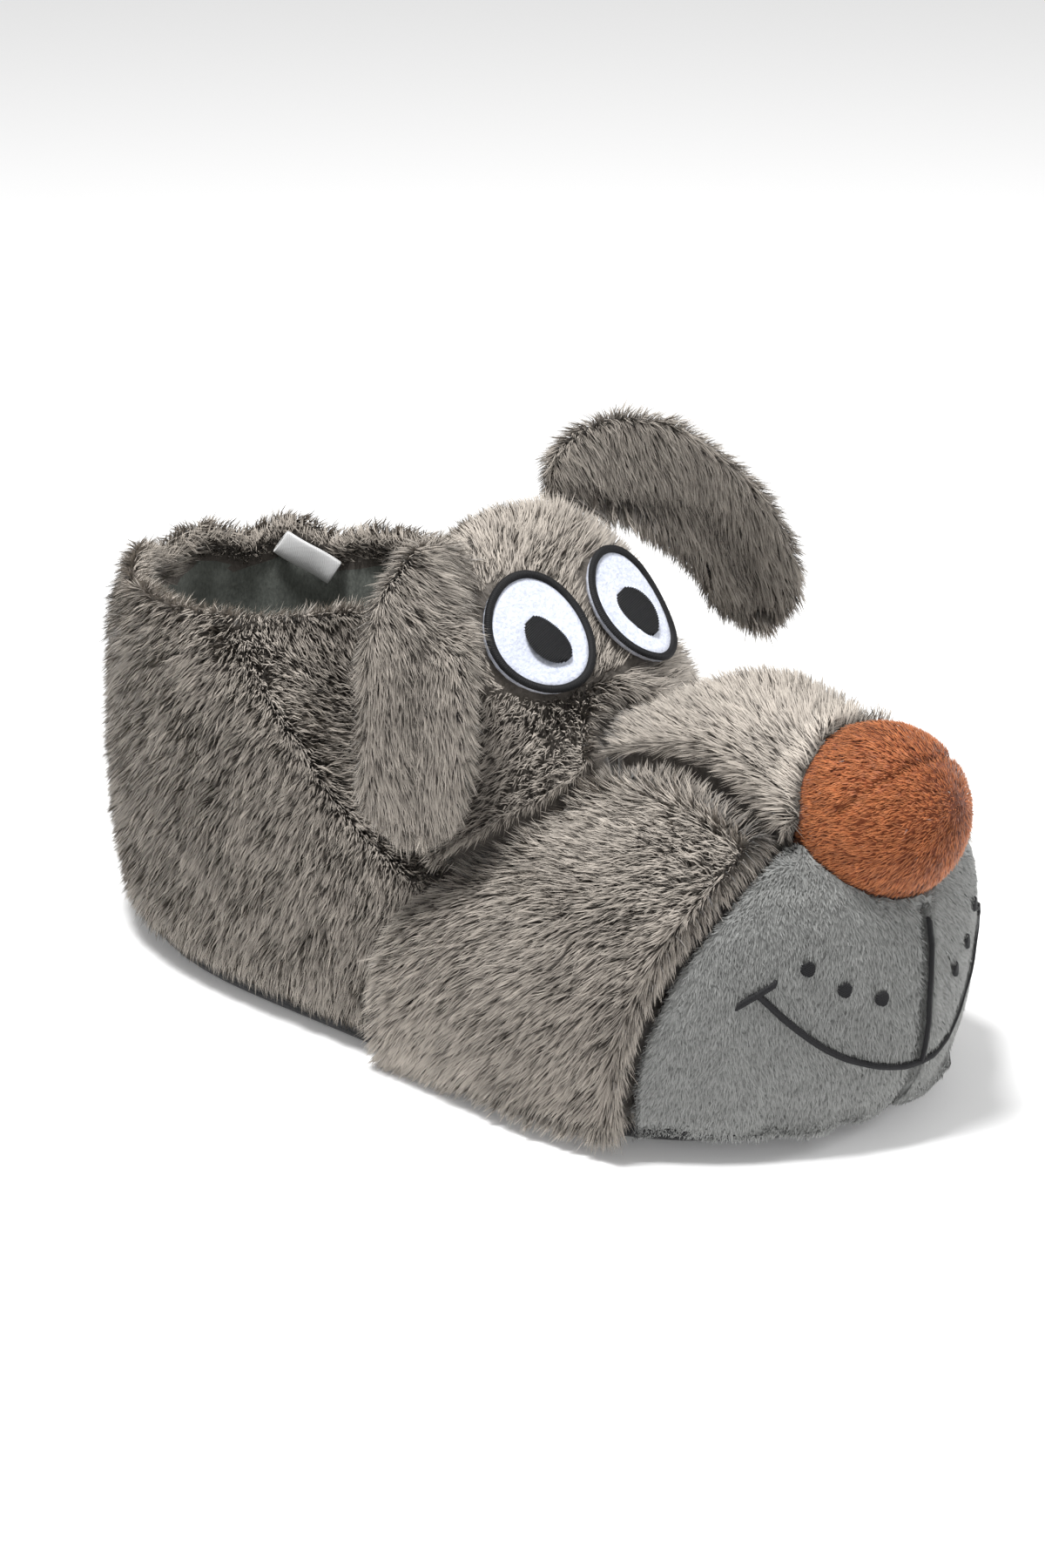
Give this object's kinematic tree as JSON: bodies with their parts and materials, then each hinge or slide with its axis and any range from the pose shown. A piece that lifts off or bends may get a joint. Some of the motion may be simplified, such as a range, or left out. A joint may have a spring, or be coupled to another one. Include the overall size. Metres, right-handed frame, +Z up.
{
  "type": "plush animal slipper",
  "caption": "Closed plush house slipper with a stuffed dog's head over the toes, hanging ears, felt eyes, round nose, open collar and flat fabric sole.",
  "frame": {"origin": "on the floor, under the middle of the sole, half way between its toe and heel ends", "axes": "+Z up from the floor, +Y from the toe towards the heel, +X towards the wearer's left"},
  "size_m": [0.1781, 0.3141, 0.1723],
  "materials": {
    "fur": "matte",
    "short_plush": "matte",
    "nose_plush": "matte",
    "felt": "matte",
    "thread": "satin",
    "lining": "matte",
    "sole_cloth": "matte",
    "label_cloth": "satin"
  },
  "bodies": {
    "root": {"bridge": "fur", "cheek_left": "fur", "cheek_right": "fur", "ear_left": "fur", "ear_right": "fur", "eye_left": "felt", "eye_right": "felt", "forehead": "fur", "insole": "lining", "label": "label_cloth", "mouth_left": "short_plush", "mouth_right": "short_plush", "nose": "nose_plush", "outsole": "sole_cloth", "pupil_left": "thread", "pupil_right": "thread", "upper": "fur"}
  },
  "joints": []
}
